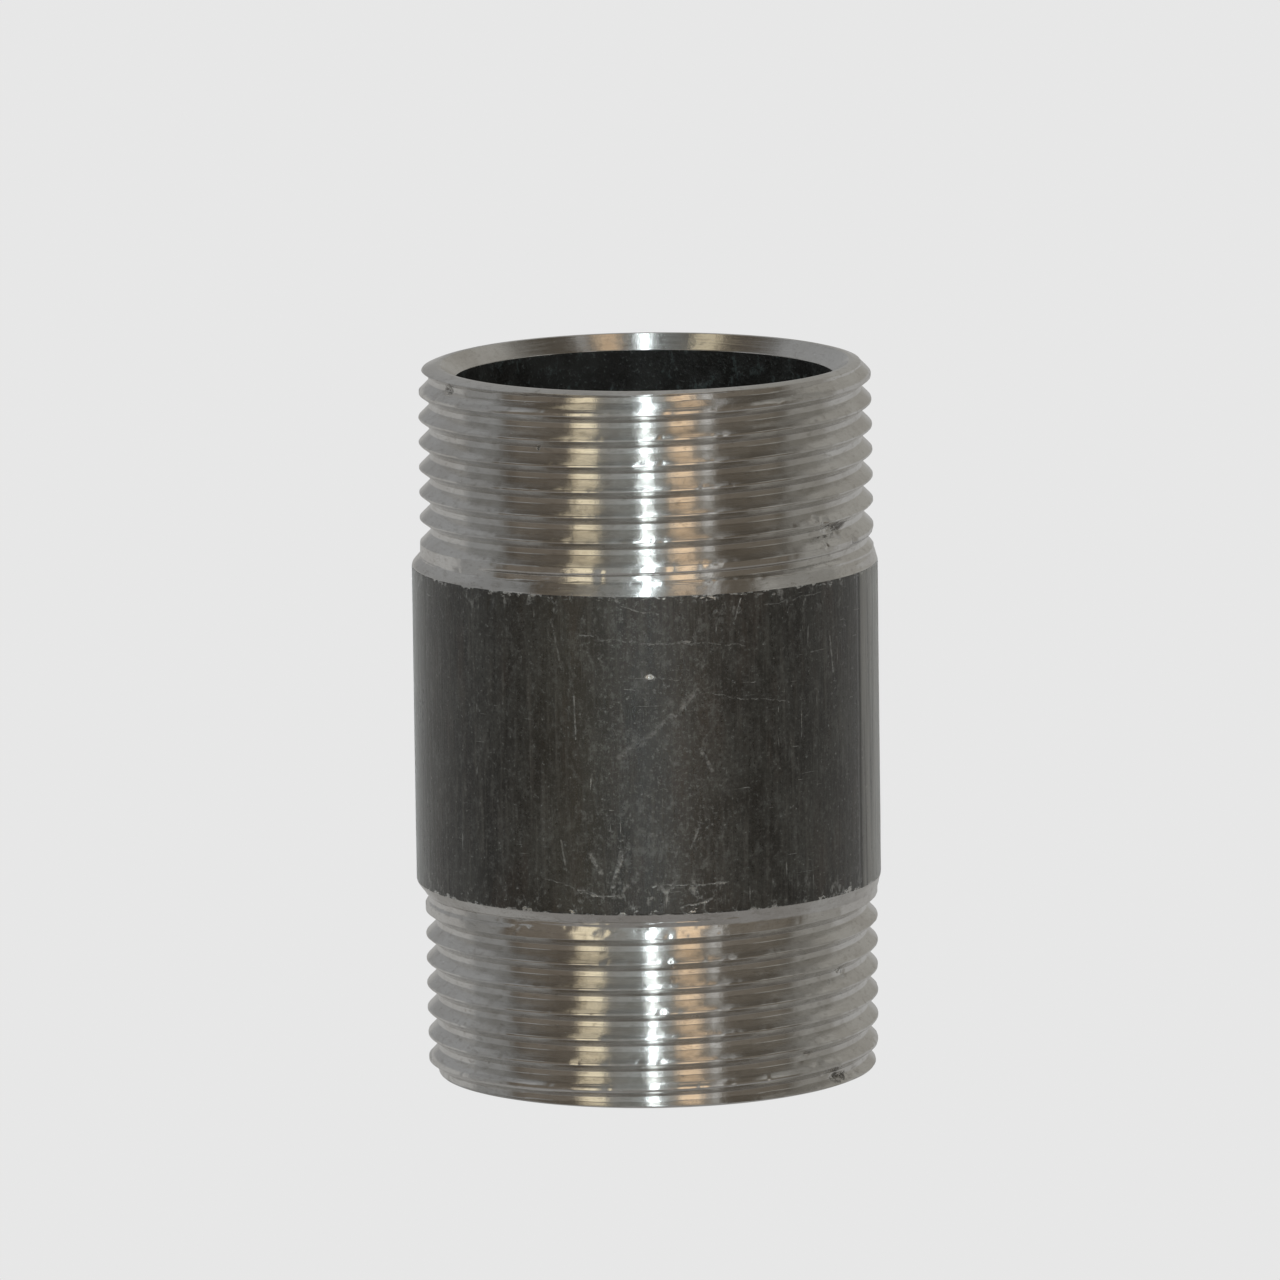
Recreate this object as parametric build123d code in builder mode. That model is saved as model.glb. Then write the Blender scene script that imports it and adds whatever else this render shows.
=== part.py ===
"""Pipe nipple cut from heavy-wall steel water pipe, size DN 32 (1 1/4 in).

One length of longitudinally welded steel pipe.  Both ends are turned down,
chamfered, bevelled inside and given a right-hand thread, 11 to the inch,
that runs out in front of a plain turned land and a short bevelled shoulder.
The groove is a shallow, blunt one, about a millimetre deep.  The middle keeps
the rolled outside of the pipe.

Frame: +Z is the pipe's own axis, the origin is the centre of the bottom end
face, +X and +Y are square to it.  Everything is in millimetres.
"""
import math
import os

from build123d import *
from build123d.topology import SkipClean

# ---------------------------------------------------------------- dimensions
length_overall = 65.6           # end face to end face
pipe_od = 42.6                  # rolled pipe outside, 42.3 +0.4/-0.5
bore_d = 34.6                   # heavy wall, 4 mm

thread_tpi = 11
pitch = 25.4 / thread_tpi       # 2.3091
thread_angle = 80.0             # included angle between the groove's walls
crest_d = 41.50                 # turned crest of the thread
root_d = 39.46                  # bottom of the thread groove
crest_flat = 0.22               # width of the crest

top_land_start = 16.60          # all four measured from the top end face
top_land_end = 17.35
top_shoulder = 18.35
bottom_land_start = 16.45       # and these from the bottom end face
bottom_land_end = 17.00
bottom_shoulder = 18.15
land_d = 41.54                  # plain turned land behind each thread

end_flat_r = 19.05              # outer edge of the narrow end face
end_chamfer_h = 0.86            # axial height of the outer end chamfer
end_bevel_r = 18.65             # inner edge of the narrow end face
end_bevel_h = 1.35              # axial depth of the bevel inside the bore

# the thread's angular start: height of one groove centre line at +X (0 deg)
top_groove_z = length_overall - 2.49
bottom_groove_z = 1.4455

# where the full-depth groove stops and how far it takes to rise out
top_runout_at = 135.0           # degrees about +Z, going down from the end
top_runout_turns = 0.68
bottom_runout_at = 45.0         # degrees about +Z, going up from the end
bottom_runout_turns = 0.60

# ------------------------------------------------------------ derived values
pipe_r = pipe_od / 2
bore_r = bore_d / 2
crest_r = crest_d / 2
root_r = root_d / 2
land_r = land_d / 2
t_half = math.tan(math.radians(thread_angle / 2))

cutter_r = crest_r + 0.06       # the groove is carried a little past the crest
half_cutter = (pitch - crest_flat) / 2 + (cutter_r - crest_r) * t_half
half_root = (pitch - crest_flat) / 2 - (crest_r - root_r) * t_half

lifted_r = cutter_r - 0.03      # bottom of the groove where it has risen out
half_lifted = half_root + (cutter_r - lifted_r) * t_half


def radial_plane(angle):
    """Plane through the axis at the given angle: X is radial, Y is up."""
    a = math.radians(angle)
    return Plane(origin=(0, 0, 0), x_dir=(math.cos(a), math.sin(a), 0),
                 z_dir=(math.sin(a), -math.cos(a), 0))


def full_section(z):
    """Corners of the full-depth groove with its centre line at height z."""
    return [(root_r, z - half_root), (root_r, z + half_root),
            (cutter_r, z + half_cutter), (cutter_r, z - half_cutter)]


def lifted_section(z):
    """Corners of the groove where it has just left the metal."""
    return [(lifted_r, z - half_root), (lifted_r, z + half_root),
            (cutter_r, z + half_lifted), (cutter_r, z - half_lifted)]


# ------------------------------------------------------------- thread grooves
# One whole turn of full-depth groove, drawn from 0 degrees at height 0.  It
# is repeated a pitch apart along each thread.
with BuildPart() as groove_turn:
    with BuildLine() as groove_helix:
        Helix(pitch=pitch, height=pitch, radius=root_r)
    with BuildSketch(radial_plane(0)) as groove_profile:
        with BuildLine():
            Polyline(*full_section(0), close=True)
        make_face()
    sweep(path=groove_helix.line, is_frenet=True)

# Top run-out: drawn from 0 degrees, rising from nothing to the full depth.
top_out_rise = top_runout_turns * pitch

with BuildPart() as top_runout:
    with BuildLine() as top_out_helix:
        Helix(pitch=pitch, height=top_out_rise, radius=root_r)
    with BuildSketch(radial_plane(0)) as top_out_start:
        with BuildLine():
            Polyline(*lifted_section(0), close=True)
        make_face()
    with BuildSketch(radial_plane(360 * top_runout_turns)) as top_out_end:
        with BuildLine():
            Polyline(*full_section(top_out_rise), close=True)
        make_face()
    sweep(sections=[top_out_start.sketch, top_out_end.sketch],
          path=top_out_helix.line, multisection=True, is_frenet=True)

# Bottom run-out: drawn from 0 degrees, from the full depth to nothing.
bottom_out_rise = bottom_runout_turns * pitch

with BuildPart() as bottom_runout:
    with BuildLine() as bottom_out_helix:
        Helix(pitch=pitch, height=bottom_out_rise, radius=root_r)
    with BuildSketch(radial_plane(0)) as bottom_out_start:
        with BuildLine():
            Polyline(*full_section(0), close=True)
        make_face()
    with BuildSketch(radial_plane(360 * bottom_runout_turns)) as bottom_out_end:
        with BuildLine():
            Polyline(*lifted_section(bottom_out_rise), close=True)
        make_face()
    sweep(sections=[bottom_out_start.sketch, bottom_out_end.sketch],
          path=bottom_out_helix.line, multisection=True, is_frenet=True)

# Heights of the groove centre line where each piece of groove starts.
top_turns = 7
top_full_z = (top_groove_z - 6 * pitch) + pitch * top_runout_at / 360
bottom_turns = 7
bottom_full_z = (bottom_groove_z - pitch) + pitch * bottom_runout_at / 360

# ------------------------------------------------------------------ the pipe
# The turned blank is revolved in four quarters, so each crest of the thread
# is kept as quarter-turn faces; the grooves are then cut in it.
with SkipClean(), BuildPart() as nipple_body:
    for start in (0, 90, 180, 270):
        with BuildSketch(radial_plane(start)) as outline:
            with BuildLine():
                Polyline(
                    (bore_r, end_bevel_h),
                    (end_bevel_r, 0),
                    (end_flat_r, 0),
                    (crest_r, end_chamfer_h),
                    (crest_r, bottom_land_start),
                    (land_r, bottom_land_start + 0.02),
                    (land_r, bottom_land_end),
                    (pipe_r, bottom_shoulder),
                    (pipe_r, length_overall - top_shoulder),
                    (land_r, length_overall - top_land_end),
                    (land_r, length_overall - top_land_start - 0.02),
                    (crest_r, length_overall - top_land_start),
                    (crest_r, length_overall - end_chamfer_h),
                    (end_flat_r, length_overall),
                    (end_bevel_r, length_overall),
                    (bore_r, length_overall - end_bevel_h),
                    close=True,
                )
            make_face()
        revolve(axis=Axis.Z, revolution_arc=90, clean=False)
    blank_volume = nipple_body.part.volume
    with Locations(*[Location((0, 0, top_full_z + k * pitch),
                              (0, 0, top_runout_at)) for k in range(top_turns)]):
        add(groove_turn.part, clean=False, mode=Mode.SUBTRACT)
    with Locations(Location((0, 0, top_full_z - top_out_rise),
                            (0, 0, top_runout_at - 360 * top_runout_turns))):
        add(top_runout.part, clean=False, mode=Mode.SUBTRACT)
    with Locations(*[Location((0, 0, bottom_full_z + k * pitch),
                              (0, 0, bottom_runout_at))
                     for k in range(bottom_turns)]):
        add(groove_turn.part, clean=False, mode=Mode.SUBTRACT)
    with Locations(Location((0, 0, bottom_full_z + bottom_turns * pitch),
                            (0, 0, bottom_runout_at))):
        add(bottom_runout.part, clean=False, mode=Mode.SUBTRACT)

# ------------------------------------------------------------------- written
nipple_body.part.label = "nipple_body"
print("pitch", round(pitch, 4), "groove at the crest", round(2 * half_cutter, 3),
      "at the root", round(2 * half_root, 3))
print("top run-out from", round(top_full_z, 2), "to",
      round(top_full_z - top_out_rise, 2))
print("bottom run-out from", round(bottom_full_z + bottom_turns * pitch, 2), "to",
      round(bottom_full_z + bottom_turns * pitch + bottom_out_rise, 2))
print("blank", round(blank_volume, 1), "threaded",
      round(nipple_body.part.volume, 1), "valid", nipple_body.part.is_valid,
      "solids", len(nipple_body.part.solids()),
      "faces", len(nipple_body.part.faces()))

os.makedirs("parts", exist_ok=True)
export_step(nipple_body.part, "parts/nipple_body.step")
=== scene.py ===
import math

import bpy
import numpy as np
from mathutils import Matrix, Vector


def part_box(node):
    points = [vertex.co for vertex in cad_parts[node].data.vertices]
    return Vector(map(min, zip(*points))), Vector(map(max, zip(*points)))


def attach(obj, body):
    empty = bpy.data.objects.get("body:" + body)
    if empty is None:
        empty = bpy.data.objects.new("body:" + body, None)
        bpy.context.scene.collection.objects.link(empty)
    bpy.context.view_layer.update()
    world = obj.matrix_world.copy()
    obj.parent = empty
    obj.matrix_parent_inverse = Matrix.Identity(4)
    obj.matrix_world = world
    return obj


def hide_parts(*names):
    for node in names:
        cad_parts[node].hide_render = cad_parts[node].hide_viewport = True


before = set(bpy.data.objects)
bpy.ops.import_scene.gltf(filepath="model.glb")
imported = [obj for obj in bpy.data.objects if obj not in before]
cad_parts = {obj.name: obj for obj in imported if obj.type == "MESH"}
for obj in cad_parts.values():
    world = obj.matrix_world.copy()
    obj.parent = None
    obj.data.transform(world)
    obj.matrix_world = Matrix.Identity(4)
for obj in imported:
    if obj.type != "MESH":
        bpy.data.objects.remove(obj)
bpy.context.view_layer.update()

LOW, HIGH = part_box("nipple_body")

# ------------------------------------------------------------------ the pipe
# Everything below is in millimetres until the mesh is written.
LENGTH = (HIGH[2] - LOW[2]) * 1000.0
PIPE_R = (HIGH[0] - LOW[0]) * 500.0
PITCH = 25.4 / 11
CREST_R, ROOT_R, LAND_R, BORE_R = 20.70, 19.74, 20.74, 17.3
CREST_FLAT = 0.17
# the die has leaned the groove a little: its upper wall is the steeper one
T_UPPER, T_LOWER = math.tan(math.radians(36.0)), math.tan(math.radians(44.0))
DEPTH = CREST_R - ROOT_R
HALF_ROOT = (PITCH - CREST_FLAT - DEPTH * (T_UPPER + T_LOWER)) / 2
LEAN = DEPTH * (T_LOWER - T_UPPER) / 2
END_R, BEVEL_R, CHAMFER_H, BEVEL_H = 19.05, 18.65, 0.86, 1.35

TOP = dict(groove=LENGTH - 2.49 + LEAN, full=LENGTH - 15.57, gone=LENGTH - 17.20,
           land=LENGTH - 17.35, shoulder=LENGTH - 18.35)
BOTTOM = dict(groove=1.4455 + LEAN, full=15.59, gone=16.97, land=17.00, shoulder=18.15)
LIFT = CREST_R - ROOT_R + 0.05

COLUMNS = 320


def smooth(a, b, x):
    t = np.clip((x - a) / (b - a), 0.0, 1.0)
    return t * t * (3 - 2 * t)


def value_noise(x, y, seed, period_x=None):
    """Smooth noise from -1 to 1 on a unit grid, the same on every run."""
    xi, yi = np.floor(x).astype(np.int64), np.floor(y).astype(np.int64)
    fx, fy = x - xi, y - yi
    fx, fy = fx * fx * (3 - 2 * fx), fy * fy * (3 - 2 * fy)

    def h(i, j):
        if period_x:
            i = np.mod(i, period_x)
        n = (i * 374761393 + j * 668265263 + seed * 1442695041) & 0xFFFFFFFF
        n = ((n ^ (n >> 13)) * 1274126177) & 0xFFFFFFFF
        n = n ^ (n >> 16)
        return (n & 0xFFFF) / 32767.5 - 1.0

    a, b = h(xi, yi), h(xi + 1, yi)
    c, d = h(xi, yi + 1), h(xi + 1, yi + 1)
    return (a + (b - a) * fx) * (1 - fy) + (c + (d - c) * fx) * fy


def blank_radius(z):
    """The turned and rolled outside before threading."""
    zs = [0.0, .16, .40, CHAMFER_H, BOTTOM["land"] - 0.02, BOTTOM["land"] + 0.02,
          BOTTOM["shoulder"] - 0.10, BOTTOM["shoulder"] + 0.12,
          TOP["shoulder"] - 0.12, TOP["shoulder"] + 0.10,
          TOP["land"] - 0.02, TOP["land"] + 0.02, LENGTH - CHAMFER_H,
          LENGTH - .40, LENGTH - .16, LENGTH]
    slope_b = (PIPE_R - LAND_R) / (BOTTOM["shoulder"] - BOTTOM["land"])
    slope_t = (PIPE_R - LAND_R) / (TOP["land"] - TOP["shoulder"])
    rs = [END_R, 19.68, 20.33, CREST_R, LAND_R, LAND_R + 0.02 * slope_b,
          PIPE_R - 0.10 * slope_b, PIPE_R, PIPE_R, PIPE_R - 0.10 * slope_t,
          LAND_R + 0.02 * slope_t, LAND_R, CREST_R, 20.33,
          19.68, END_R]
    r = np.interp(z, zs, rs)
    # the die has left the first crests a little low
    end = np.minimum(z, LENGTH - z)
    return r - 0.07 * (1 - smooth(0.6, 6.5, end)) * smooth(0.0, CHAMFER_H, end)


def groove_radius(theta, z, end, up):
    """Radius of the thread groove near z; the groove fades past its full part."""
    base = end["groove"] + PITCH * theta / (2 * math.pi)
    turn = np.round((z - base) / PITCH)
    r = np.full_like(z, 99.0)
    for k in (-1, 0, 1):
        zc = base + (turn + k) * PITCH
        past = ((zc - end["full"]) / (end["gone"] - end["full"]))
        lift = np.clip(past, 0.0, 1.6) * LIFT
        above = np.maximum(z - zc - HALF_ROOT, 0.0) / T_UPPER
        below = np.maximum(zc - z - HALF_ROOT, 0.0) / T_LOWER
        wall = np.maximum(above, below)
        r = np.minimum(r, ROOT_R + lift + wall)
    return r


# nicks and dents: angle deg, height, half width deg, half height, depth
NICKS = [
    (206.0, LENGTH - 1.15, 2.2, .42, .26), (201.5, LENGTH - 1.9, 1.5, .30, .16),
    (318.6, 52.75, 1.3, .40, .22), (321.2, 52.45, 1.5, .34, .30),
    (324.0, 52.00, 1.2, .38, .20), (326.6, 51.70, 1.7, .33, .28),
    (329.8, 51.10, 1.3, .40, .24), (333.0, 50.65, 1.8, .35, .22),
    (336.0, 50.20, 1.3, .35, .26), (322.4, 50.35, 1.0, .28, .16),
    (275.8, 13.30, .45, .13, .14), (328.6, 11.15, 1.6, .34, .30),
    (331.0, 10.55, 1.1, .30, .18), (262.8, 17.80, .5, .14, .12),
    (270.6, 40.00, 1.0, .22, .07), (313.8, 3.95, 1.4, .34, .20),
    (317.5, 2.85, 1.9, .30, .24), (322.0, 1.75, 1.5, .34, .20),
    (327.0, 1.15, 2.2, .32, .26), (332.5, .75, 1.9, .30, .22),
    (338.0, .95, 2.2, .34, .24), (226.0, 45.55, .9, .20, .09),
    (229.0, 46.10, .7, .18, .08), (300.0, 2.2, .6, .16, .08),
    (241.0, 60.3, .5, .14, .06),
    (120.0, 55.5, 1.4, .35, .22), (95.0, 9.1, 1.6, .3, .22), (40.0, 60.1, 1.3, .4, .2),
    (150.0, 4.6, 1.5, .4, .2), (75.0, 31.0, 1.2, .5, .08), (15.0, 22.0, 1.4, .3, .08),
]


def outer_radius(theta, z):
    r = blank_radius(z)
    top = np.minimum(r, groove_radius(theta, z, TOP, True))
    bot = np.minimum(r, groove_radius(theta, z, BOTTOM, False))
    r = np.where(z > LENGTH / 2, top, bot)
    u = theta / (2 * math.pi)
    # torn crests, chatter on the flanks, and the rolled skin of the middle
    torn = value_noise(u * 180, z * 1.9, 11, 180)
    waves = value_noise(u * 64, z * 0.45, 12, 64)
    skin = smooth(BOTTOM["land"], BOTTOM["shoulder"], z) * \
        (1 - smooth(TOP["shoulder"], TOP["land"], z))
    high = smooth(CREST_R - .35, CREST_R - .02, r) * (1 - skin)
    r = r - high * (0.012 + 0.014 * torn + .035 * np.maximum(torn - .45, 0)) \
        - (1 - skin) * 0.006 * (1 + waves)
    r = r - skin * 0.008 * (1 + value_noise(u * 30, z * 0.25, 13, 30))
    for ang, zc, wa, wz, depth in NICKS:
        d = (np.mod(np.degrees(theta) - ang + 180.0, 360.0) - 180.0) / wa
        e = (z - zc) / wz
        q = d * d + e * e
        r = r - depth * np.exp(-1.4 * q)
    return r


def axis_shift(z):
    """The rolled pipe is a little off the axis that the lathe turned."""
    body = smooth(BOTTOM["land"], BOTTOM["shoulder"], z) * \
        (1 - smooth(TOP["shoulder"], TOP["land"], z))
    return 0.135 - 0.22 * body


def outer_point(theta, z):
    r = outer_radius(theta, z)
    return np.stack([r * np.cos(theta) + axis_shift(z), r * np.sin(theta), z], -1)


def outer_normal(theta, z):
    dt, dz = 0.002, 0.012
    a = outer_point(theta + dt, z) - outer_point(theta - dt, z)
    b = outer_point(theta, z + dz) - outer_point(theta, z - dz)
    n = np.cross(a, b)
    return n / np.linalg.norm(n, axis=-1, keepdims=True)


def build_outer():
    """Columns of points up the outside.  Between the chamfer and the land the
    rows follow the thread; elsewhere they are level rings."""
    up, down = HALF_ROOT + DEPTH * T_UPPER, HALF_ROOT + DEPTH * T_LOWER
    offs = sorted([0.0, HALF_ROOT - .05, HALF_ROOT + .04, (HALF_ROOT + up) / 2,
                   up - .045, up + .04, up + CREST_FLAT / 2,
                   -HALF_ROOT + .05, -HALF_ROOT - .04, -(HALF_ROOT + down) / 2,
                   -down + .045, -down - .03])
    n = len(offs)
    zone_t = (TOP["full"] - 1.35, LENGTH - 1.02)
    zone_b = (1.02, BOTTOM["full"] + 1.05)
    level = list(np.linspace(0, 1.0, 13))
    level += list(np.arange(zone_b[1] + .03, 18.45, .105))
    body0, body1 = 18.5, TOP["shoulder"] - .35
    level += [18.15, TOP["shoulder"]]
    level += list(np.linspace(body0, body1, 34))
    level += list(np.arange(body1 + .05, zone_t[0] - .02, .105))
    level += list(np.linspace(LENGTH - 1.0, LENGTH, 13))
    level = np.array(sorted(level))
    cols = []
    for j in range(COLUMNS + 1):
        th = 2 * math.pi * j / COLUMNS
        items = [(z, ("L", i)) for i, z in enumerate(level)]
        for name, end, zone in (("T", TOP, zone_t), ("B", BOTTOM, zone_b)):
            base = end["groove"] + PITCH * th / (2 * math.pi)
            k0 = int(math.floor((zone[0] - base) / PITCH)) - 1
            k1 = int(math.ceil((zone[1] - base) / PITCH)) + 1
            for k in range(k0, k1 + 1):
                for m, o in enumerate(offs):
                    z = base + k * PITCH + o
                    if zone[0] < z < zone[1]:
                        items.append((z, (name, k * n + m)))
        items.sort()
        cols.append(items)
    verts, index = [], []
    for j in range(COLUMNS):
        ids = {}
        for z, key in cols[j]:
            ids[key] = len(verts)
            verts.append((2 * math.pi * j / COLUMNS, z))
        index.append(ids)
    # the last column is the first one, with the thread's rows a turn along
    last = {}
    for z, key in cols[COLUMNS]:
        other = key if key[0] == "L" else (key[0], key[1] + n)
        if other in index[0]:
            last[key] = index[0][other]
    index.append(last)
    keys = [[k for _, k in c] for c in cols]
    keys[COLUMNS] = [k for k in keys[COLUMNS] if k in last]
    faces = []
    for j in range(COLUMNS):
        A, B, ia, ib = keys[j], keys[j + 1], index[j], index[j + 1]
        sa, sb = set(A), set(B)
        a = b = 0
        while a < len(A) - 1 or b < len(B) - 1:
            na = A[a + 1] if a < len(A) - 1 else None
            nb = B[b + 1] if b < len(B) - 1 else None
            if na is not None and na == nb:
                faces.append((ia[A[a]], ib[B[b]], ib[nb], ia[na]))
                a += 1
                b += 1
            elif na is not None and (na not in sb or nb is None):
                faces.append((ia[A[a]], ib[B[b]], ia[na]))
                a += 1
            elif nb is not None and (nb not in sa or na is None):
                faces.append((ia[A[a]], ib[B[b]], ib[nb]))
                b += 1
            else:
                # a row that left one column came back out of order
                faces.append((ia[A[a]], ib[B[b]], ia[na]))
                a += 1
    return np.array(verts), faces


def make_pipe():
    tz, faces = build_outer()
    theta, z = tz[:, 0], tz[:, 1]
    pts = outer_point(theta, z)
    nrm = outer_normal(theta, np.clip(z, 0.02, LENGTH - 0.02))
    count = len(pts)
    mats = []
    for f in faces:
        mid = sum(z[i] for i in f) / len(f)
        mats.append(3 if 18.15 < mid < LENGTH - 18.35 else 0)
    # rings of the ends and the bore, from the top edge down the inside
    ring_at = {}
    for i, (t, zz) in enumerate(tz):
        if abs(zz) < 1e-9 or abs(zz - LENGTH) < 1e-9:
            j = int(round(t / (2 * math.pi) * COLUMNS))
            ring_at[(0 if zz < 1 else 1, j)] = i
    top_prof = [(END_R - .05, LENGTH, 1), (BEVEL_R + .05, LENGTH, 1),
                (BEVEL_R - .03, LENGTH - .03, 1)]
    for f in (.2, .4, .6, .8):
        top_prof.append((BEVEL_R + (BORE_R - BEVEL_R) * f, LENGTH - BEVEL_H * f, 1))
    top_prof.append((BORE_R + .04, LENGTH - BEVEL_H + .04, 1))
    top_prof.append((BORE_R, LENGTH - BEVEL_H - .05, 2))
    for zz in np.linspace(LENGTH - 2.2, 2.2, 26):
        top_prof.append((BORE_R, zz, 2))
    top_prof.append((BORE_R, BEVEL_H + .05, 2))
    top_prof.append((BORE_R + .04, BEVEL_H - .04, 1))
    for f in (.8, .6, .4, .2):
        top_prof.append((BEVEL_R + (BORE_R - BEVEL_R) * f, BEVEL_H * f, 1))
    top_prof += [(BEVEL_R - .03, .03, 1), (BEVEL_R + .05, 0, 1), (END_R - .05, 0, 1)]
    ang = np.arange(COLUMNS) * 2 * math.pi / COLUMNS
    extra, enorm, rows = [], [], []
    for i, (r, zz, m) in enumerate(top_prof):
        shift = 0.135 if m == 1 else 0.0
        rr = np.full(COLUMNS, r)
        if m == 2:
            rr = rr + 0.05 * value_noise(ang / (2 * math.pi) * 9, np.full(COLUMNS, zz / 14), 5, 9)
        rows.append([count + len(extra) + k for k in range(COLUMNS)])
        extra += list(np.stack([rr * np.cos(ang) + shift, rr * np.sin(ang),
                                np.full(COLUMNS, zz)], -1))
        if i in (0, 1):
            nr, nz = 0.0, 1.0
        elif i in (len(top_prof) - 1, len(top_prof) - 2):
            nr, nz = 0.0, -1.0
        elif m == 2:
            nr, nz = -1.0, 0.0
        else:
            s = math.hypot(BEVEL_H, BEVEL_R - BORE_R)
            nr, nz = -BEVEL_H / s, (BEVEL_R - BORE_R) / s * (1 if zz > LENGTH / 2 else -1)
        enorm += list(np.stack([nr * np.cos(ang), nr * np.sin(ang),
                                np.full(COLUMNS, nz)], -1))
    first = [ring_at[(1, j)] for j in range(COLUMNS)]
    lastr = [ring_at[(0, j)] for j in range(COLUMNS)]
    chain = [first] + rows + [lastr]
    kinds = [1] + [p[2] for p in top_prof]
    for i in range(len(chain) - 1):
        a, b = chain[i], chain[i + 1]
        m = max(kinds[i], 1) if i < len(kinds) else 1
        if 0 < i < len(top_prof) and (top_prof[i - 1][2] == 2 and top_prof[i][2] == 2):
            m = 2
        else:
            m = 1
        for j in range(COLUMNS):
            k = (j + 1) % COLUMNS
            faces.append((a[j], a[k], b[k], b[j]))
            mats.append(m)
    allp = np.concatenate([pts, np.array(extra)]) * 0.001
    alln = np.concatenate([nrm, np.array(enorm)])
    me = bpy.data.meshes.new("nipple_steel")
    me.from_pydata([tuple(p) for p in allp], [], faces)
    me.update()
    me.polygons.foreach_set("use_smooth", [True] * len(me.polygons))
    me.polygons.foreach_set("material_index", mats)
    me.normals_split_custom_set_from_vertices([tuple(v) for v in alln])
    ob = bpy.data.objects.new("nipple_steel", me)
    bpy.context.scene.collection.objects.link(ob)
    return ob


pipe = make_pipe()
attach(pipe, "root")
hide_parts("nipple_body")

# ----------------------------------------------------------------- materials


class Net:
    """Small helper for writing node trees."""

    def __init__(self, tree):
        self.t = tree
        self.t.nodes.clear()

    def put(self, sock, v):
        if isinstance(v, bpy.types.NodeSocket):
            self.t.links.new(v, sock)
        elif isinstance(v, (tuple, list)) and len(v) == 3 and sock.type == "RGBA":
            sock.default_value = (*v, 1.0)
        else:
            sock.default_value = v

    def node(self, kind, ins=(), **props):
        n = self.t.nodes.new(kind)
        for k, v in props.items():
            setattr(n, k, v)
        for k, v in dict(ins).items():
            self.put(n.inputs[k], v)
        return n

    def m(self, op, a, b=0.0, c=0.0, clamp=False):
        n = self.node("ShaderNodeMath", {0: a, 1: b, 2: c}, operation=op)
        n.use_clamp = clamp
        return n.outputs[0]

    def vec(self, a, x=1.0, y=1.0, z=1.0):
        n = self.node("ShaderNodeVectorMath", {0: a, 1: (x, y, z)}, operation="MULTIPLY")
        return n.outputs[0]

    def noise(self, v, scale=1.0, detail=2.0, rough=.5, dist=0.0):
        n = self.node("ShaderNodeTexNoise", {"Vector": v, "Scale": scale,
                                             "Detail": detail, "Roughness": rough,
                                             "Distortion": dist})
        return n.outputs[0]

    def cells(self, v, scale=1.0, rand=1.0):
        n = self.node("ShaderNodeTexVoronoi", {"Vector": v, "Scale": scale,
                                               "Randomness": rand})
        return n.outputs[0]

    def span(self, v, a, b, lo=0.0, hi=1.0, smooth_step=True):
        n = self.node("ShaderNodeMapRange", {0: v, 1: a, 2: b, 3: lo, 4: hi})
        n.interpolation_type = "SMOOTHSTEP" if smooth_step else "LINEAR"
        return n.outputs[0]

    def mix(self, f, a, b):
        n = self.t.nodes.new("ShaderNodeMix")
        n.data_type = "RGBA"
        self.put(n.inputs[0], f)
        self.put(n.inputs[6], a)
        self.put(n.inputs[7], b)
        return n.outputs[2]

    def ramp(self, v, stops, mode="LINEAR"):
        n = self.node("ShaderNodeValToRGB", {0: v})
        cr = n.color_ramp
        cr.interpolation = mode
        while len(cr.elements) < len(stops):
            cr.elements.new(.5)
        for e, (p, c) in zip(cr.elements, stops):
            e.position = p
        for e, (p, c) in zip(cr.elements, stops):
            e.color = (*c, 1.0)
        return n.outputs[0]

    def mm(self):
        """Position on the piece in millimetres, its angle and its parts."""
        tc = self.node("ShaderNodeTexCoord")
        v = self.vec(tc.outputs["Object"], 1000.0, 1000.0, 1000.0)
        sep = self.node("ShaderNodeSeparateXYZ", {0: v})
        x, y, z = sep.outputs
        ang = self.m("ARCTAN2", y, x)
        return v, x, y, z, ang


def new_material(name):
    m = bpy.data.materials.new(name)
    m.use_nodes = True
    return m, Net(m.node_tree)


def finish_shader(g, colour, rough, metal, aniso=0.0, bumps=(), ior=None, sheen=0.0):
    out = g.node("ShaderNodeOutputMaterial")
    ins = {"Base Color": colour, "Roughness": rough, "Metallic": metal}
    if ior:
        ins["IOR"] = ior
    if sheen:
        ins["Sheen Weight"] = sheen
        ins["Sheen Roughness"] = .28
    if aniso:
        tan = g.node("ShaderNodeTangent", direction_type="RADIAL", axis="Z")
        ins["Tangent"] = tan.outputs[0]
        ins["Anisotropic"] = aniso
        ins["Anisotropic Rotation"] = 0.25
    normal = None
    for height, dist in bumps:
        d = {"Height": height, "Distance": dist, "Strength": 1.0}
        if normal is not None:
            d["Normal"] = normal
        normal = g.node("ShaderNodeBump", d).outputs[0]
    if normal is not None:
        ins["Normal"] = normal
    sh = g.node("ShaderNodeBsdfPrincipled", ins)
    g.t.links.new(sh.outputs[0], out.inputs[0])
    return sh


# dirty, torn spots on the turned ends: angle deg, height mm, half sizes
DIRT = [(329.0, 51.85, 7.0, .62), (328.8, 11.1, 1.6, .55), (275.8, 13.3, .55, .22),
        (262.8, 17.8, .7, .25), (329.0, 1.0, 6.0, .45), (206.0, 64.4, 3.0, .38),
        (224.0, 46.8, 3.0, .45), (241.0, 60.3, .5, .2), (120.0, 55.5, 2.0, .5),
        (95.0, 9.1, 2.2, .5)]


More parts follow.
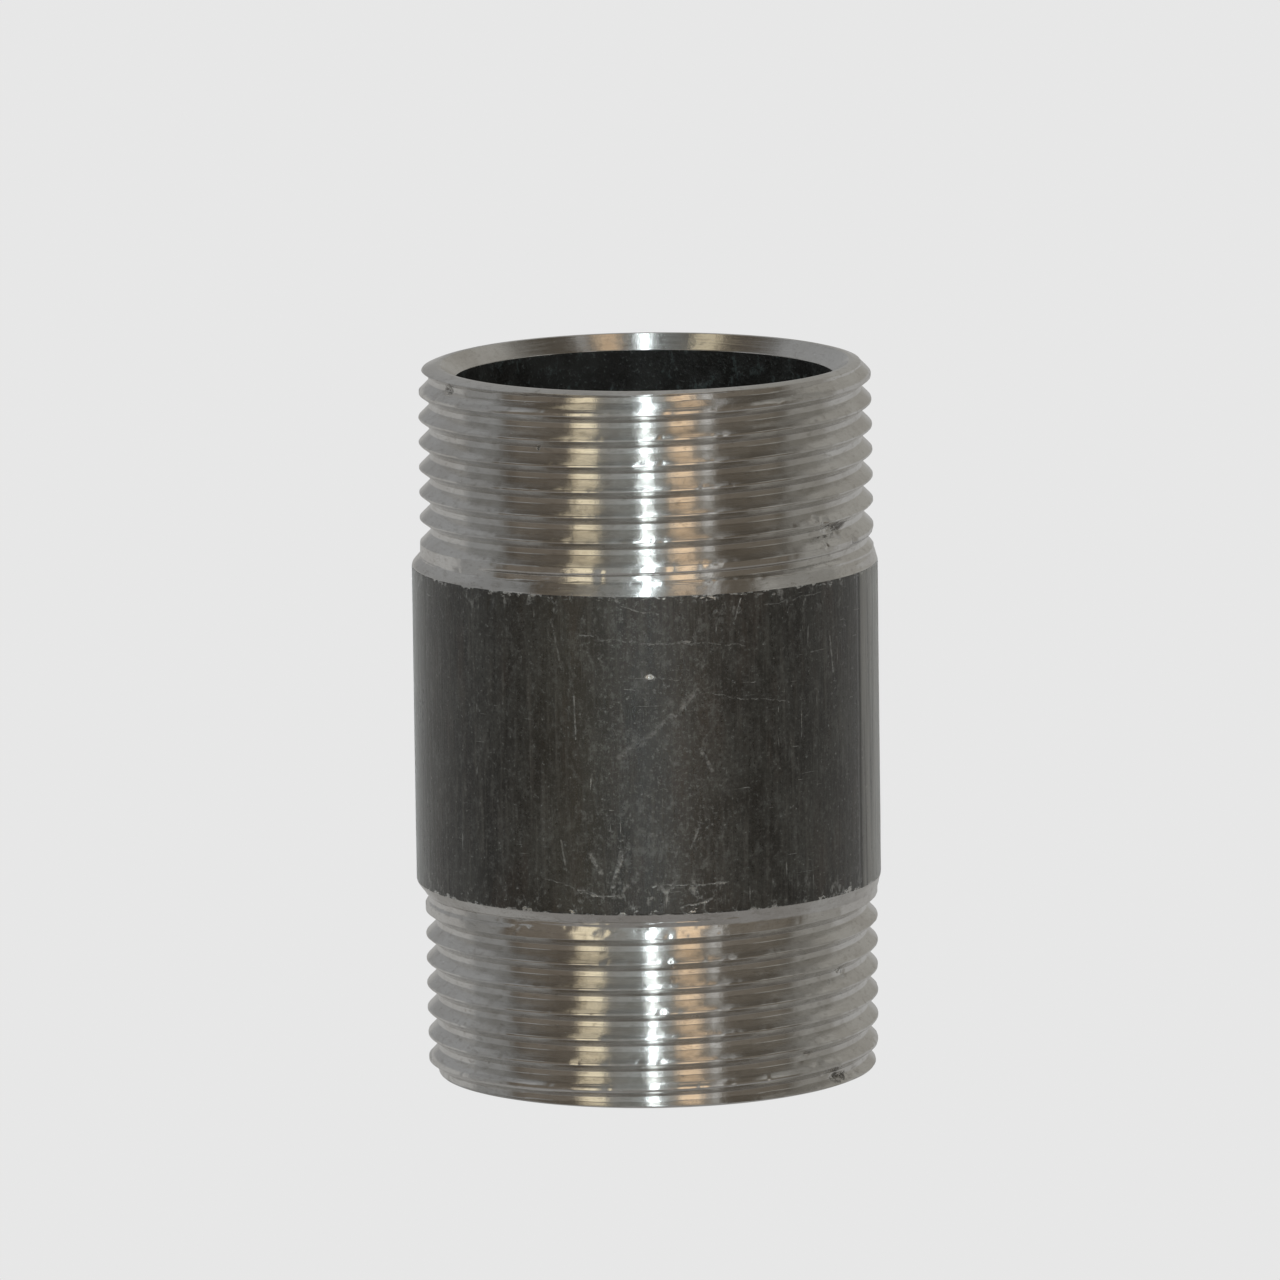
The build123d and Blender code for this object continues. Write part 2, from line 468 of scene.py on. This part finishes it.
def turned(name, ring_depth, stain_level):
    """Bright turned steel: rings left by the tool, stains and dark pits."""
    mat, g = new_material(name)
    v, x, y, z, ang = g.mm()
    rings = g.noise(g.vec(v, .22, .22, 9.0), 1.0, 2.0, .6)
    fine = g.noise(g.vec(v, .5, .5, 24.0), 1.0, 1.0, .5)
    ribs = g.noise(g.vec(v, 1.5, 1.5, .35), 1.0, 1.0, .4)
    blotch = g.noise(g.vec(v, .16, .16, .22), 1.0, 4.0, .6)
    grime = g.noise(g.vec(v, .9, .9, 2.2), 1.0, 6.0, .72)
    pits = g.noise(v, 3.4, 3.0, .6)
    pit = g.span(pits, .715, .76)
    spark = g.noise(v, 9.0, 2.0, .7)
    streak = g.noise(g.vec(v, .9, .9, 7.0), 1.0, 3.0, .6)
    base = g.mix(g.span(blotch, .38, .66), (.80, .795, .78), (.69, .675, .65))
    base = g.mix(g.m("MULTIPLY", g.span(grime, .50, .76), stain_level), base, (.45, .43, .395))
    base = g.mix(g.m("MULTIPLY", g.span(streak, .54, .74), .35), base, (.52, .50, .47))
    base = g.mix(g.m("MULTIPLY", g.span(spark, .56, .70), .30), base, (.40, .38, .35))
    deg = g.m("MODULO", g.m("ADD", g.m("MULTIPLY", ang, 180 / math.pi), 360.0), 360.0)
    dirt = None
    for a0, z0, wa, wz in DIRT:
        ex = g.m("MULTIPLY_ADD", deg, 1.0 / wa, -a0 / wa)
        ez = g.m("MULTIPLY_ADD", z, 1.0 / wz, -z0 / wz)
        q = g.m("MULTIPLY_ADD", ex, ex, g.m("MULTIPLY", ez, ez))
        hit = g.span(q, 1.3, .3)
        dirt = hit if dirt is None else g.m("MAXIMUM", dirt, hit)
    crumbs = g.noise(g.vec(v, 1.1, 1.1, 1.5), 1.0, 5.0, .74)
    pit = g.m("MAXIMUM", pit, g.m("MULTIPLY", dirt, g.span(crumbs, .47, .60)))
    base = g.mix(g.m("MULTIPLY", pit, .8), base, (.08, .07, .06))
    rough = g.span(rings, .3, .72, .11, .19)
    rough = g.m("ADD", rough, g.m("MULTIPLY", g.span(grime, .48, .76), .10))
    rough = g.m("ADD", rough, g.m("MULTIPLY", pit, .3))
    finish_shader(g, base, rough, g.m("SUBTRACT", 1.0, g.m("MULTIPLY", pit, .6)), .80,
                  [(rings, ring_depth), (fine, ring_depth * .35), (ribs, .0000060),
                   (spark, .0000030), (g.m("MULTIPLY", pit, -1.0), .00003)])
    return mat


# scratches and scuffs in the scale: two ends (angle deg, height mm), half
# width mm, strength
MARKS = [
    (269.9, 40.06, 271.6, 39.90, .30, 1.3), (258.8, 43.33, 294.8, 42.53, .09, .34),
    (268.6, 43.07, 280.7, 43.04, .08, .50), (263.9, 46.36, 272.8, 45.60, .08, .55),
    (253.1, 43.73, 256.9, 43.59, .10, .55), (268.5, 39.88, 277.7, 39.71, .07, .45),
    (281.8, 38.46, 305.9, 36.84, .08, .38), (282.3, 38.64, 276.1, 36.45, .34, .30),
    (276.1, 36.45, 270.7, 34.67, .36, .28), (270.7, 34.67, 262.9, 32.67, .42, .22),
    (251.9, 38.24, 252.2, 34.13, .10, .45), (255.6, 23.65, 258.0, 22.12, .36, .52),
    (263.3, 23.89, 261.0, 20.85, .34, .60), (270.2, 20.76, 289.5, 20.90, .11, .62),
    (252.9, 20.13, 263.4, 19.86, .09, .70), (277.4, 18.77, 285.4, 19.36, .12, .80),
    (321.2, 42.55, 322.6, 38.81, .16, .50), (293.6, 46.77, 292.0, 44.81, .10, .80),
    (246.2, 45.17, 248.6, 40.65, .14, .26), (282.9, 32.96, 285.8, 31.26, .20, .35),
    (243.8, 21.14, 258.0, 20.01, .08, .45), (248.0, 24.90, 249.4, 22.18, .12, .34),
    (282.7, 26.75, 280.1, 24.05, .14, .34), (300.0, 45.9, 318.0, 46.4, .07, .35),
    (60.0, 40.0, 78.0, 37.0, .10, .5), (120.0, 26.0, 121.0, 31.0, .12, .4),
    (170.0, 44.5, 190.0, 44.0, .08, .5), (20.0, 22.0, 34.0, 24.5, .10, .4),
]


def mill_scale(name):
    """Dark rolled skin: drawn streaks, speckle with a painted sheen on the front middle, scratches down
    to the metal.
    """
    mat, g = new_material(name)
    v, x, y, z, ang = g.mm()
    deg = g.m("MODULO", g.m("ADD", g.m("MULTIPLY", ang, 180 / math.pi), 360.0), 360.0)
    wob = g.noise(v, .55, 4.0, .66)
    wz = g.m("MULTIPLY", g.m("SUBTRACT", wob, .5), 1.3)
    streak = g.noise(g.vec(v, 1.7, 1.7, .10), 1.0, 5.0, .68)
    broad = g.noise(g.vec(v, .34, .34, .07), 1.0, 4.0, .6)
    cloud = g.noise(g.vec(v, .24, .24, .17), 1.0, 6.0, .70)
    speck = g.noise(v, 2.7, 5.0, .78)
    grain = g.noise(v, 7.0, 3.0, .75)
    flake = g.noise(g.vec(v, 1.1, 1.1, .7), 1.0, 6.0, .74)
    base = g.mix(g.span(cloud, .36, .66), (.017, .0155, .012), (.058, .058, .051))
    base = g.mix(g.m("MULTIPLY", g.span(broad, .50, .68), .45), base, (.062, .043, .031))
    base = g.mix(g.m("MULTIPLY", g.span(streak, .50, .68), .60), base, (.120, .114, .100))
    base = g.mix(g.m("MULTIPLY", g.span(streak, .46, .34), .50), base, (.014, .013, .011))
    # pale flakes and specks, some everywhere and denser on the front middle of the body: a painted sheen
    # standing in for the lamp's reflection there
    speck_and_painted_sheen = g.m("MULTIPLY", g.span(g.m("ABSOLUTE", g.m("SUBTRACT", deg, 271.0)), 24.0, 5.0),
               g.span(g.m("ABSOLUTE", g.m("SUBTRACT", z, 33.0)), 17.0, 8.0))
    speck_and_painted_sheen = g.m("MULTIPLY_ADD", speck_and_painted_sheen, .55, .40)
    base = g.mix(g.m("MULTIPLY", g.span(flake, .51, .64), speck_and_painted_sheen), base, (.160, .162, .152))
    base = g.mix(g.m("MULTIPLY", g.span(speck, .53, .65), speck_and_painted_sheen), base, (.215, .218, .208))
    base = g.mix(g.m("MULTIPLY", g.span(speck, .47, .38), .60), base, (.012, .011, .009))
    base = g.mix(g.m("MULTIPLY", g.span(grain, .57, .70), .35), base, (.240, .242, .232))
    # bare metal: the marks above, random hairlines and the ragged edges
    bare = None
    for a0, z0, a1, z1, w, k in MARKS:
        r = 21.3 * math.pi / 180
        ax, ay = a0 * r, z0
        dx, dy = (a1 - a0) * r, z1 - z0
        ll = dx * dx + dy * dy
        px = g.m("SUBTRACT", g.m("MULTIPLY", deg, r), ax)
        py = g.m("SUBTRACT", g.m("ADD", z, wz), ay)
        t = g.m("MULTIPLY_ADD", px, dx / ll, g.m("MULTIPLY", py, dy / ll), clamp=True)
        ex = g.m("MULTIPLY_ADD", t, -dx, px)
        ey = g.m("MULTIPLY_ADD", t, -dy, py)
        dist = g.m("SQRT", g.m("MULTIPLY_ADD", ex, ex, g.m("MULTIPLY", ey, ey)))
        hit = g.span(dist, w, w * .25, 0.0, k)
        bare = hit if bare is None else g.m("MAXIMUM", bare, hit)
    broken = g.span(g.noise(g.vec(v, 2.2, 2.2, 2.2), 1.0, 4.0, .7), .38, .60)
    bare = g.m("MAXIMUM", g.m("MULTIPLY", bare, broken), g.m("MULTIPLY", g.m("SUBTRACT", bare, .42), .6))
    cx = g.m("MULTIPLY_ADD", deg, 1 / 1.15, -270.6 / 1.15)
    cz = g.m("MULTIPLY_ADD", g.m("ADD", z, wz), 1 / .34, -40.0 / .34)
    chip = g.span(g.m("MULTIPLY_ADD", cx, cx, g.m("MULTIPLY", cz, cz)), 1.25, .7)
    bare = g.m("MAXIMUM", bare, chip)
    hair_a = g.noise(g.vec(v, .35, .35, 6.5), 1.0, 1.0, .5, .8)
    hair_b = g.noise(g.vec(v, 4.5, 4.5, .28), 1.0, 1.0, .5, .6)
    gate = g.span(g.noise(g.vec(v, .22, .22, .30), 1.0, 2.0, .5), .50, .64)
    hairs = g.m("MAXIMUM", g.span(hair_a, .735, .77), g.span(hair_b, .735, .765))
    bare = g.m("MAXIMUM", bare, g.m("MULTIPLY", g.m("MULTIPLY", hairs, gate), .55))
    dots = g.m("MULTIPLY", g.span(speck, .655, .70), .6)
    bare = g.m("MAXIMUM", bare, dots)
    zt = g.m("SUBTRACT", LENGTH - 18.35, z)
    zb = g.m("SUBTRACT", z, 18.15)
    edge = g.m("MINIMUM", zt, zb)
    rag = g.noise(g.vec(v, .9, .9, 1.6), 1.0, 5.0, .7)
    reach = g.span(rag, .46, .78, -.05, .95)
    ragged = g.m("MULTIPLY", g.span(g.m("SUBTRACT", reach, edge), .0, .10), .95)
    near = g.m("MULTIPLY", g.span(edge, 3.2, .0), g.span(flake, .555, .66))
    bare = g.m("MAXIMUM", bare, g.m("MAXIMUM", ragged, g.m("MULTIPLY", near, .45)))
    low = g.m("MULTIPLY", g.span(g.m("ABSOLUTE", g.m("SUBTRACT", z, 20.1)), 1.7, .2),
              g.span(g.m("ABSOLUTE", g.m("SUBTRACT", deg, 272.0)), 24.0, 6.0))
    low = g.m("MULTIPLY", low, g.span(flake, .52, .64))
    bare = g.m("MAXIMUM", bare, g.m("MULTIPLY", low, .55))
    # the weld's trimmed strip, with a dark line beside it
    strip = g.m("MULTIPLY", g.span(deg, 335.7, 337.4), g.span(deg, 354.0, 351.5))
    draw = g.noise(g.vec(v, 2.2, 2.2, .05), 1.0, 3.0, .6)
    base = g.mix(g.m("MULTIPLY", strip, g.span(draw, .30, .62)), base, (.30, .295, .275))
    line = g.m("MULTIPLY", g.span(deg, 334.0, 334.9), g.span(deg, 336.1, 335.3))
    base = g.mix(g.m("MULTIPLY", line, .85), base, (.014, .012, .010))
    colour = g.mix(bare, base, (.66, .66, .64))
    rough = g.m("ADD", g.span(streak, .3, .7, .24, .36), g.m("MULTIPLY", g.span(speck, .35, .65), .10))
    rough = g.m("SUBTRACT", rough, g.m("MULTIPLY", bare, .12))
    metal = g.m("MULTIPLY", bare, .75, clamp=True)
    finish_shader(g, colour, rough, metal, 0.0,
                  [(streak, .000040), (speck, .000022), (grain, .000010),
                   (g.m("MULTIPLY", g.m("ADD", bare, line), -1.0), .00003)], 1.72, .85)
    return mat


def bore_skin(name):
    """Inside of the pipe: near-black, flaky, a few pale flecks."""
    mat, g = new_material(name)
    v, x, y, z, ang = g.mm()
    cloud = g.noise(g.vec(v, .30, .30, .22), 1.0, 5.0, .65)
    fleck = g.noise(g.vec(v, .9, .9, .6), 1.0, 6.0, .78)
    grain = g.noise(v, 3.5, 3.0, .7)
    base = g.mix(g.span(cloud, .40, .66), (.008, .008, .007), (.030, .034, .033))
    base = g.mix(g.m("MULTIPLY", g.span(fleck, .54, .66), .75), base, (.14, .18, .182))
    base = g.mix(g.m("MULTIPLY", g.span(grain, .58, .70), .6), base, (.20, .23, .23))
    rough = g.span(cloud, .3, .7, .30, .52)
    finish_shader(g, base, rough, g.m("MULTIPLY", g.span(fleck, .56, .68), .5), 0.0,
                  [(fleck, .00016), (grain, .00005)], 1.7)
    return mat


pipe.data.materials.append(turned("turned_steel", .0000042, .75))
pipe.data.materials.append(turned("end_steel", .0000075, .55))
pipe.data.materials.append(bore_skin("bore_skin"))
pipe.data.materials.append(mill_scale("mill_scale"))

# ------------------------------------------------------------ floor and light
scene = bpy.context.scene
scene.view_settings.view_transform = "Standard"

bpy.ops.mesh.primitive_plane_add(size=40)
floor = bpy.context.object
floor.name = "floor"
fm, g = new_material("floor_white")
out = g.node("ShaderNodeOutputMaterial")
lp = g.node("ShaderNodeLightPath")
dif = g.node("ShaderNodeBsdfDiffuse", {0: (.62, .62, .62)})
glow = g.node("ShaderNodeEmission", {0: (.80, .80, .80), 1: 1.0})
both = g.node("ShaderNodeMixShader", {0: g.m("MULTIPLY", lp.outputs["Is Camera Ray"], 1.0),
                                      1: dif.outputs[0], 2: glow.outputs[0]})
g.t.links.new(both.outputs[0], out.inputs[0])
floor.data.materials.append(fm)
floor.visible_glossy = False

lamp_data = bpy.data.lights.new("softbox", "AREA")
lamp_data.shape = "SQUARE"
lamp_data.size = 1.2
lamp_data.energy = 4.0
softbox = bpy.data.objects.new("softbox", lamp_data)
scene.collection.objects.link(softbox)
softbox.location = (-0.5, -0.9, 1.5)
softbox.rotation_euler = (math.radians(32), math.radians(-18), 0.0)
softbox.visible_glossy = False

# A room seen in the metal: a lamp strip overhead, warm and cool cards beside
# it, a pale backdrop behind and at the sides.
world = bpy.data.worlds.new("studio")
scene.world = world
world.use_nodes = True
g = Net(world.node_tree)
tc = g.node("ShaderNodeTexCoord")
d = g.node("ShaderNodeVectorMath", {0: tc.outputs["Generated"]}, operation="NORMALIZE").outputs[0]
dx, dy, dz = g.node("ShaderNodeSeparateXYZ", {0: d}).outputs
front = g.m("MAXIMUM", g.m("MULTIPLY", dy, -1.0), 0.0)
table = g.span(dz, .12, -.02)
u = g.m("DIVIDE", dx, g.m("MULTIPLY_ADD", front, .86, 1.14))
wide = g.m("MULTIPLY", table, g.span(g.m("ABSOLUTE", dx), .6, 1.0))
u = g.m("MULTIPLY", u, g.m("MULTIPLY_ADD", wide, -.35, 1.0))
SPAN = .66


def across(stops):
    return g.ramp(g.m("MULTIPLY_ADD", u, .5 / SPAN, .5),
                  [(.5 + p * .5 / SPAN, c) for p, c in stops])


room = across([(-.62, (.34, .34, .338)), (-.530, (.25, .25, .245)), (-.490, (.128, .108, .086)),
               (-.340, (.120, .104, .086)), (-.200, (.20, .195, .180)), (-.050, (.26, .275, .27)),
               (-.030, (.36, .39, .39)), (.062, (.36, .38, .375)), (.085, (.24, .225, .20)),
               (.255, (.22, .20, .175)), (.272, (.40, .395, .38)), (.300, (.52, .52, .51)),
               (.316, (.22, .205, .18)), (.335, (.125, .108, .088)), (.475, (.12, .105, .085)),
               (.520, (.28, .27, .25)), (.62, (.36, .35, .325))])
cards = across([(-.358, (0, 0, 0)), (-.347, (.76, .66, .46)), (-.232, (.80, .69, .46)),
                (-.222, (0, 0, 0)), (.104, (0, 0, 0)), (.116, (.66, .48, .30)),
                (.160, (.78, .52, .28)), (.218, (.66, .48, .30)), (.230, (0, 0, 0))])
lamp = across([(-.019, (0, 0, 0)), (-.012, (4.4, 4.9, 5.1)), (.006, (4.4, 4.9, 5.1)), (.013, (0, 0, 0))])
above = g.span(dy, -.30, -.22)
reach = g.m("ADD", g.m("MULTIPLY", above, .62),
            g.m("MULTIPLY", g.m("MULTIPLY", g.span(dy, -.45, -.60), g.span(dz, .56, .68)), .45))
reach = g.m("MAXIMUM", reach, table)
level = g.m("MULTIPLY", g.m("MULTIPLY_ADD", above, -.28, 1.0), g.m("MULTIPLY_ADD", table, .30, 1.0))
room = g.node("ShaderNodeVectorMath", {0: room, 3: level}, operation="SCALE").outputs[0]
cards = g.node("ShaderNodeVectorMath", {0: cards, 3: reach}, operation="SCALE").outputs[0]
room = g.node("ShaderNodeVectorMath", {0: room, 1: cards}, operation="ADD").outputs[0]
room = g.node("ShaderNodeVectorMath", {0: room, 1: lamp}, operation="ADD").outputs[0]
back_wall = g.mix(g.span(dx, -.4, .4), (.295, .297, .297), (.335, .325, .30))
back_wall = g.mix(table, back_wall, (.40, .395, .385))
col = g.mix(g.span(dy, .33, .43), room, back_wall)
low = g.mix(g.span(dy, -.2, .3), (.24, .23, .22), (.31, .305, .295))
col = g.mix(g.span(dz, -.24, -.44), col, low)
bg = g.node("ShaderNodeBackground", {0: col, 1: 1.0})
seen = g.node("ShaderNodeBackground", {0: (.80, .80, .80), 1: 1.0})
lp = g.node("ShaderNodeLightPath")
mx = g.node("ShaderNodeMixShader", {0: lp.outputs["Is Camera Ray"], 1: bg.outputs[0], 2: seen.outputs[0]})
out = g.node("ShaderNodeOutputWorld")
g.t.links.new(mx.outputs[0], out.inputs[0])

# -------------------------------------------------------------------- camera
EL, ROLL = math.radians(9.248), math.radians(0.773)
DIST, FOCAL = 1.294, 14146.0
LOOK = Vector((-0.00061, 0.0, 0.03988))
back = Vector((0.0, -math.cos(EL), math.sin(EL)))
right = Vector((1.0, 0.0, 0.0))
up = back.cross(right)
cx = right * math.cos(ROLL) - up * math.sin(ROLL)
cy = right * math.sin(ROLL) + up * math.cos(ROLL)
cam_data = bpy.data.cameras.new("camera")
cam = bpy.data.objects.new("camera", cam_data)
scene.collection.objects.link(cam)
rot = Matrix((cx, cy, back)).transposed()
cam.matrix_world = Matrix.Translation(LOOK + back * DIST) @ rot.to_4x4()
cam_data.sensor_width = 36.0
cam_data.lens = FOCAL / 1280 * 36.0
cam_data.clip_start = 0.05
cam_data.clip_end = 50.0
scene.camera = cam

bpy.context.view_layer.update()
print("triangles", sum(len(p.vertices) - 2 for p in pipe.data.polygons))
